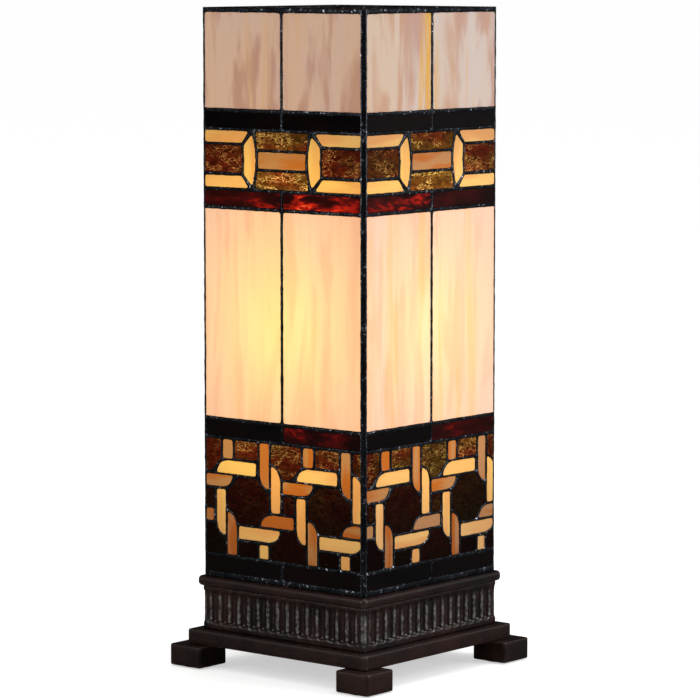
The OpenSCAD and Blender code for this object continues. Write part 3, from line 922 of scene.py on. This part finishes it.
# %% Glass of the four sides
KINDS = {
    "opal_glass": (4.0 * MM, ((26 * MM, 0.12 * MM), (9 * MM, 0.05 * MM))),
    "black_glass": (2.2 * MM, ((14 * MM, 0.14 * MM), (5 * MM, 0.06 * MM))),
    "ruby_glass": (1.6 * MM, ((9 * MM, 0.14 * MM), (3.5 * MM, 0.08 * MM))),
    "amber_glass": (1.5 * MM, ((9 * MM, 0.14 * MM), (3.2 * MM, 0.09 * MM))),
    "honey_glass": (2.4 * MM, ((14 * MM, 0.12 * MM), (5 * MM, 0.05 * MM))),
    "orange_glass": (2.4 * MM, ((14 * MM, 0.12 * MM), (5 * MM, 0.05 * MM))),
}


def make_glass(side, kind, luck):
    node = side + "_" + kind
    grid, waves = KINDS[kind]
    out = Vector((0, -1, 0)) @ Matrix.Rotation(-math.radians(90) * SIDES.index(side), 3, "Z")
    made = merged_copy(node)
    let_out(made, out, UNDER_SOLDER)
    shift = made.verts.layers.float_vector.new("cut_shift")
    upright, tone, hue = (made.verts.layers.float.new(name)
                          for name in ("cut_upright", "cut_tone", "cut_hue"))
    for part in loose_parts(made):
        spot = middle_of(part)
        tall = max(p.co.z for p in part) - min(p.co.z for p in part)
        wide = max(max(p.co[i] for p in part) - min(p.co[i] for p in part) for i in (0, 1))
        moved = Vector((luck.random(), luck.random(), luck.random())) * 3
        level = tone_of(kind, side, spot, luck.random())
        shade = hue_of(kind, side, spot, luck.random())
        stands = 1.0 if tall > wide or kind == "opal_glass" else 0.0
        for point in part:
            point[shift], point[upright], point[tone], point[hue] = moved, stands, level, shade
    low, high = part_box(node)
    for axis in (0, 1, 2):
        if high[axis] - low[axis] > 5 * MM:
            slice_across(made, axis, low[axis] - UNDER_SOLDER, high[axis] + UNDER_SOLDER, grid)
    made.normal_update()
    for point in made.verts:
        face = point.normal.dot(out)
        if abs(face) > 0.9:
            push = sum(depth * noise.noise(point.co / size) for size, depth in waves)
            point.co += out * push
    split_many_sided(made)
    return piece_from(made, node, kind, [node], soft_angle=40, body="shade")


luck = random.Random(41)
glass_faces = 0
for side in SIDES:
    for kind in KINDS:
        glass_faces += len(make_glass(side, kind, luck).data.polygons)
print("glass in all", glass_faces, "faces")

# %% [markdown]
# ## The base
#
# The base is cast, so it has no sharp edge anywhere. The slab is the simplest casting: a
# block with rounded corners and a bull-nosed rim, and a low step on top that the shade drops
# over. It is made from a cube, with one bevel for the uprights and one for the rims, and the
# step is inset from the top face and drawn up.

# %% Casting helpers
CAST_CELL = 3.5 * MM


def box_between(low, high):
    """A bmesh box with those corners."""
    made = bmesh.new()
    bmesh.ops.create_cube(made, size=1.0)
    bmesh.ops.scale(made, verts=made.verts, vec=high - low)
    bmesh.ops.translate(made, verts=made.verts, vec=(low + high) / 2)
    return made


def soften(made, width, segments, pick=None, sharper_than=30):
    """Bevels the edges sharper than that angle, or of them the ones that pick keeps."""
    made.normal_update()
    edges = [edge for edge in made.edges
             if len(edge.link_faces) == 2
             and edge.calc_face_angle(0) > math.radians(sharper_than)
             and (pick is None or pick(edge))]
    bmesh.ops.bevel(made, geom=edges, offset=width, offset_type="OFFSET", segments=segments,
                    profile=0.5, affect="EDGES", material=-1, clamp_overlap=True)
    return made


def upright(edge):
    """True for an edge that stands up."""
    start, end = (point.co for point in edge.verts)
    return abs(start.z - end.z) > (start - end).length * 0.9


def level(edge):
    """True for an edge that doesn't stand up."""
    return not upright(edge)


def cut_fine(made, low, high):
    """Cuts a casting into small cells, so that the wear on its edges doesn't reach its faces."""
    for axis in (0, 1, 2):
        slice_across(made, axis, low[axis], high[axis], CAST_CELL)
    split_many_sided(made)
    return made


def draw_up(made, faces, rise):
    """Raises the faces by that much, with walls under their outline."""
    raised = bmesh.ops.extrude_face_region(made, geom=faces)["geom"]
    bmesh.ops.delete(made, geom=faces, context="FACES_ONLY")
    points = [item for item in raised if isinstance(item, bmesh.types.BMVert)]
    bmesh.ops.translate(made, verts=points, vec=(0, 0, rise))


print("castings are cut into cells of", CAST_CELL / MM, "mm")

# %% Top slab
SLAB_NOSE = 2.7 * MM
SLAB_CORNER = 3.0 * MM
slab_low, slab_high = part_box("top_slab")
slab_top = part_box("front_lead_lattice")[0].z
step_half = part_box("plinth")[1].x - 13.5 * MM


def make_slab():
    made = box_between(slab_low, Vector((slab_high.x, slab_high.y, slab_top)))
    soften(made, SLAB_CORNER, 6, upright)
    soften(made, SLAB_NOSE, 6, level, sharper_than=60)
    top = max(made.faces, key=lambda face: face.calc_center_median().z + face.calc_area())
    inset = slab_high.x - SLAB_NOSE - step_half
    bmesh.ops.inset_region(made, faces=[top], thickness=inset, use_even_offset=True)
    draw_up(made, [top], slab_high.z - slab_top)
    return cut_fine(made, slab_low, slab_high)


top_slab = piece_from(make_slab(), "slab_casting", "bronze", ["top_slab"], body="base")
print("slab", len(top_slab.data.polygons), "faces")

# %% [markdown]
# The frieze carries a row of reeds on each side, which grow out of the ground between them
# with a soft hollow. The same remesh that melts the solder gives that hollow, and a slow
# noise makes each reed a little different, as a carved pattern is.

# %% Fluted frieze
FRIEZE_VOXEL = 0.8 * MM
FRIEZE_LUMPS = ((7 * MM, 0.30 * MM), (2.4 * MM, 0.10 * MM))
frieze = piece_from(merged_copy("fluted_frieze"), "frieze_casting", "bronze_reeds_painted_highlight",
                    ["fluted_frieze"], body="base")
melted(frieze, FRIEZE_VOXEL, 3)
uneven(frieze, FRIEZE_LUMPS, off_the_ends(frieze_low, frieze_high, 2 * MM))
print("frieze", len(frieze.data.polygons), "faces")

# %% Plinth and feet
def outside(node, margin):
    """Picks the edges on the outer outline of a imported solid, seen from above."""
    low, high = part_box(node)
    middle, half = (low + high) / 2, (high - low) / 2

    def pick(edge):
        return all(max(abs(point.co.x - middle.x) - half.x, abs(point.co.y - middle.y) - half.y)
                   > -margin for point in edge.verts)
    return pick


plinth = soften(merged_copy("plinth"), 1.3 * MM, 4, outside("plinth", 0.1 * MM))
plinth = piece_from(cut_fine(plinth, *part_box("plinth")), "plinth_casting", "bronze", ["plinth"],
                    body="base")
FEET = ("foot_front_left", "foot_front_right", "foot_back_right", "foot_back_left")
for foot in FEET:
    around = outside(foot, 0.9 * MM)
    made = soften(merged_copy(foot), 1.1 * MM, 4,
                  lambda edge, around=around: level(edge) and around(edge), sharper_than=60)
    piece_from(cut_fine(made, *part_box(foot)), foot.replace("foot_", "block_foot_"), "bronze",
               [foot], body="base")
print("plinth", len(plinth.data.polygons), "faces, and", len(FEET), "feet")

# %% [markdown]
# ## The small parts underneath
#
# Pads, cover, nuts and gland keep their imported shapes, with their edges broken by a small
# bevel so that they catch the light. The screws get a cross recess: their heads are cut by
# planes into strips, and the strips that make a cross are pushed in.

# %% Small parts
def dressed(node, name, finish, width, segments=2, body="base", sharper_than=30):
    made = soften(merged_copy(node), width, segments, sharper_than=sharper_than)
    return piece_from(made, name, finish, [node], body=body)


dressed("felt_pads", "felt_discs", "felt", 0.25 * MM)
dressed("bottom_cover", "cover_plate", "zinc_steel", 0.4 * MM)
dressed("tube_nuts", "hex_nuts", "zinc_steel", 0.35 * MM)
dressed("cable_gland", "gland_bush", "black_plastic", 0.4 * MM, 3)
dressed("gland_nut", "gland_hex_nut", "black_plastic", 0.35 * MM)
dressed("stiffener_strips", "brass_strips", "brass", 0.3 * MM, body="shade")


def cross_recess(made, spot, half_length, half_width, depth):
    """Pushes a cross into the downward face at that spot."""
    for axis in (Vector((1, 0, 0)), Vector((0, 1, 0))):
        for offset in (-half_length, -half_width, half_width, half_length):
            head = [f for f in made.faces if f.normal.z < -0.9
                    and (f.calc_center_median() - spot).length < 2 * half_length]
            parts = {item for f in head for item in (f, *f.edges, *f.verts)}
            bmesh.ops.bisect_plane(made, geom=list(parts), dist=1e-7,
                                   plane_co=spot + axis * offset, plane_no=axis)
    cross = []
    for face in made.faces:
        off = face.calc_center_median() - spot
        a, b = sorted((abs(off.x), abs(off.y)))
        if face.normal.z < -0.9 and abs(off.z) < 0.1 * MM and a < half_width and b < half_length:
            cross.append(face)
    draw_up(made, cross, depth)


def make_screws(node, name):
    made = merged_copy(node)
    low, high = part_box(node)
    soften(made, 0.8 * MM, 3, lambda edge: all(p.co.z < low.z + 0.1 * MM for p in edge.verts))
    made.normal_update()
    reach = high.x - 3.8 * MM
    for x in (-reach, reach):
        for y in (-reach, reach):
            cross_recess(made, Vector((x, y, low.z)), 1.9 * MM, 0.45 * MM, 1.3 * MM)
    return piece_from(made, name, "zinc_steel", [node], body="base")


make_screws("foot_screws", "foot_cross_screws")
make_screws("stack_screws", "stack_cross_screws")
print("small parts dressed")

# %% [markdown]
# ## The light
#
# Round parts are turned: half of the outline is drawn as a chain of points, and spun about
# the upright axis. Threads are cut into the turned shape afterwards. A screw thread is a wave
# that climbs one pitch for every turn, so each point moves in or out by that wave.

# %% Turning helpers
def turned(profile, steps=64):
    """Spins a closed outline of (radius, height) points, in metres, about the lamp's axis."""
    made = bmesh.new()
    points = [made.verts.new((radius, 0, height)) for radius, height in profile]
    chain = [made.edges.new(pair) for pair in zip(points, points[1:] + points[:1])]
    bmesh.ops.spin(made, geom=points + chain, cent=(0, 0, 0), axis=(0, 0, 1),
                   angle=2 * math.pi, steps=steps, use_merge=True)
    bmesh.ops.remove_doubles(made, verts=made.verts, dist=1e-7)
    bmesh.ops.dissolve_degenerate(made, edges=made.edges, dist=1e-8)
    bmesh.ops.recalc_face_normals(made, faces=made.faces)
    return made


def stepped(profile, step):
    """The outline with its long straight stretches cut into steps no longer than step."""
    fine = []
    for start, end in zip(profile, profile[1:] + profile[:1]):
        count = max(1, math.ceil(math.dist(start, end) / step))
        fine += [(start[0] + (end[0] - start[0]) * k / count,
                  start[1] + (end[1] - start[1]) * k / count) for k in range(count)]
    return fine


def wall_between(inner, outer, low, high):
    """The outline of a plain tube's wall."""
    return [(inner, low), (outer, low), (outer, high), (inner, high)]


def cut_thread(made, low, high, pitch, depth, inner=0.0):
    """Cuts a round thread into the wall outside the inner radius, fading at both ends."""
    for point in made.verts:
        radius = math.hypot(point.co.x, point.co.y)
        if radius < inner or not low < point.co.z < high:
            continue
        fade = min(1.0, (point.co.z - low) / pitch, (high - point.co.z) / pitch)
        turn = math.atan2(point.co.y, point.co.x) / (2 * math.pi)
        wave = 0.5 - 0.5 * math.cos(2 * math.pi * (point.co.z / pitch - turn))
        scale = (radius - depth * fade * wave) / radius
        point.co.x *= scale
        point.co.y *= scale
    return made


print("lathe ready")

# %% Tube, riser and lampholder
PITCH = 3.63 * MM
tube_low, tube_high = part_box("threaded_tube")
tube_wall = wall_between(3.5 * MM, 5 * MM, tube_low.z, tube_high.z)
tube = turned(stepped(tube_wall, 0.25 * MM), 32)
cut_thread(tube, tube_low.z, tube_high.z, 1.0 * MM, 0.3 * MM, 4.5 * MM)
piece_from(tube, "threaded_rod", "zinc_steel", ["threaded_tube"], soft_angle=50, body="base")
dressed("riser_sleeve", "riser_column", "brass", 0.5 * MM, 3)

dressed("lampholder_cap", "holder_cap", "black_plastic", 0.6 * MM, 3, sharper_than=20)

skirt_low, skirt_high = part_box("lampholder_skirt")
RIBS = 36


def make_skirt():
    base, top = skirt_low.z, skirt_high.z
    bore, wall, lip = 17.2 * MM, 19.2 * MM, skirt_high.x
    outline = [(bore, base), (18.6 * MM, base), (wall, base + 4 * MM), (wall, top - 4 * MM),
               (lip, top - 2 * MM), (lip, top - 0.5 * MM), (lip - 0.5 * MM, top), (bore, top)]
    made = turned(stepped(outline, 0.9 * MM), RIBS * 4)
    for point in made.verts:
        radius = math.hypot(point.co.x, point.co.y)
        inside = min(point.co.z - base - 4 * MM, base + 14 * MM - point.co.z)
        if radius < 18.4 * MM or inside < 0:
            continue
        rib = 0.5 + 0.5 * math.cos(math.atan2(point.co.y, point.co.x) * RIBS)
        scale = 1 - 0.5 * MM * rib * min(1.0, inside / MM) / radius
        point.co.x *= scale
        point.co.y *= scale
    return cut_thread(made, base + 15 * MM, top - 4.5 * MM, 2.2 * MM, 0.5 * MM, 18.4 * MM)


piece_from(make_skirt(), "holder_skirt", "black_plastic", ["lampholder_skirt"], body="base")
dressed("porcelain_insert", "holder_porcelain", "porcelain", 0.4 * MM, 3)
dressed("centre_contact", "holder_spring", "brass", 0.12 * MM)
dressed("terminal_screws", "holder_terminals", "brass", 0.2 * MM)

shell_low, shell_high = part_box("screw_shell")
shell_wall = wall_between(13.6 * MM, 14.4 * MM, shell_low.z, shell_high.z)
shell = turned(stepped(shell_wall, 0.6 * MM))
cut_thread(shell, shell_low.z + 2 * MM, shell_high.z - 2 * MM, PITCH, 0.22 * MM)
piece_from(shell, "threaded_shell", "brass", ["screw_shell"], soft_angle=50, body="base")
print("lampholder turned")

# %% Bulb
bulb_cap_low, bulb_cap_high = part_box("bulb_cap")
BULB_CAP_R = bulb_cap_high.x
NECK_R = BULB_CAP_R - 0.5 * MM


def make_bulb_cap():
    low, high = bulb_cap_low.z, bulb_cap_high.z
    outline = [(0.0, low), (11.6 * MM, low), (12.6 * MM, low + 1.2 * MM),
               (BULB_CAP_R, low + 2 * MM), (BULB_CAP_R, high - 0.4 * MM),
               (BULB_CAP_R - 0.2 * MM, high), (NECK_R, high),
               (NECK_R - 0.3 * MM, low + 2.4 * MM), (0.0, low + 0.5 * MM)]
    fine = [p for p in stepped(outline[:-1], 0.55 * MM) if p[0] > 0]
    made = turned(fine + [(0.0, low + 0.5 * MM), (0.0, low)], 72)
    return cut_thread(made, low + 1.5 * MM, high - 2.5 * MM, PITCH, 0.7 * MM,
                      BULB_CAP_R - 0.2 * MM)


def globe_outline(inset):
    """The globe's wall from its neck to its top."""
    radius = bulb_high.x - inset
    middle = bulb_high.z - bulb_high.x
    neck, neck_z = NECK_R - inset, bulb_cap_high.z
    start = math.radians(-35)
    end_r, end_z = radius * math.cos(start), middle + radius * math.sin(start)
    wall = [(neck, bulb_low.z), (neck, neck_z)]
    for k in range(1, 10):
        f = k / 10
        flare = (end_r - neck) * f * f * (1.6 - 0.6 * f)
        wall.append((neck + flare, neck_z + (end_z - neck_z) * f))
    for k in range(33):
        turn = start + (math.pi / 2 - start) * k / 32
        wall.append((radius * math.cos(turn) if k < 32 else 0.0,
                     middle + radius * math.sin(turn)))
    return wall


globe = turned(globe_outline(0.0) + globe_outline(0.8 * MM)[::-1], 80)
piece_from(globe, "pearl_globe", "pearl_glass", ["bulb_globe"], soft_angle=60, body="bulb")
piece_from(make_bulb_cap(), "screw_cap", "nickel_cap", ["bulb_cap"], soft_angle=50, body="bulb")
dressed("bulb_insulator", "glass_insulator", "black_glass_bead", 0.6 * MM, 3, body="bulb")
dressed("bulb_contact", "contact_blob", "solder_tip", 0.7 * MM, 4, body="bulb_tip")
dressed("bulb_stem", "glass_stem", "clear_glass", 0.5 * MM, 3, body="bulb")
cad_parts["bulb_filament"].data.materials.clear()
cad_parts["bulb_filament"].data.materials.append(finishes["filament"])
print("bulb turned")

# %% [markdown]
# ## The room
#
# The lamp stands on a wide pale floor in soft light. A large light on the right is the
# brighter and cooler one, one on the left fills, a faint one behind is there for the gloss of
# the black glass, and one overhead draws the upper edges. The world gives the rest, and it is
# nearly dark where the lamp's own gloss would show it.

# %% Floor
FLOOR_LIFT = 0.52
FLOOR_REACH = 30.0


def make_floor():
    """A pale floor that is nearly dark in the lamp's gloss, as in a dim room."""
    made = bmesh.new()
    bmesh.ops.create_grid(made, x_segments=4, y_segments=4, size=FLOOR_REACH)
    mesh = bpy.data.meshes.new("floor")
    made.to_mesh(mesh)
    made.free()
    tree, shader = new_finish("floor", roughness=0.9, specular_ior_level=0.1,
                              emission_color=(1.0, 1.0, 1.0, 1))
    ray = add(tree, "LightPath").outputs
    feed(tree, shader,
         base_color=mixed(tree, ray["Is Glossy Ray"], (0.9, 0.9, 0.9), (0.07, 0.07, 0.07)),
         emission_strength=product(tree, ray["Is Camera Ray"], FLOOR_LIFT))
    mesh.materials.append(finishes["floor"])
    new_object("floor", mesh)


make_floor()
print("floor laid")

# %% Lights
def make_light(name, spot, size, power, colour):
    """A large soft light that faces the middle of the lamp."""
    data = bpy.data.lights.new(name, "AREA")
    data.shape = "RECTANGLE"
    data.size, data.size_y = size
    data.energy = power
    data.color = colour
    light = new_object(name, data)
    light.location = spot
    middle = Vector((0, 0, cad_high.z / 2))
    light.rotation_euler = (middle - light.location).to_track_quat("-Z", "Y").to_euler()


WORLD_LIGHT = 0.55
WORLD_SEEN_IN_GLOSS = 0.02
make_light("right_window", (1.7, 0.85, 0.9), (0.8, 1.6), 14.0, (0.95, 0.98, 1.0))
make_light("left_fill", (-0.9, -1.9, 0.8), (0.35, 1.5), 6.5, (1.0, 0.98, 0.95))
make_light("far_wall", (1.3, 1.55, 0.7), (1.6, 1.3), 0.8, (0.95, 0.97, 1.0))
make_light("overhead", (0.3, 0.2, 2.2), (1.4, 1.4), 10.0, (1.0, 1.0, 1.0))

world = bpy.data.worlds.new("room")
world.use_nodes = True
sky = world.node_tree.nodes["Background"]
sky.inputs["Color"].default_value = (1.0, 1.0, 1.0, 1)
glossy = add(world.node_tree, "LightPath").outputs["Is Glossy Ray"]
world.node_tree.links.new(
    between(world.node_tree, glossy, 0.0, 1.0, WORLD_LIGHT, WORLD_SEEN_IN_GLOSS),
    sky.inputs["Strength"])
bpy.context.scene.world = world
bpy.context.scene.view_settings.view_transform = "Standard"
print("lights set")
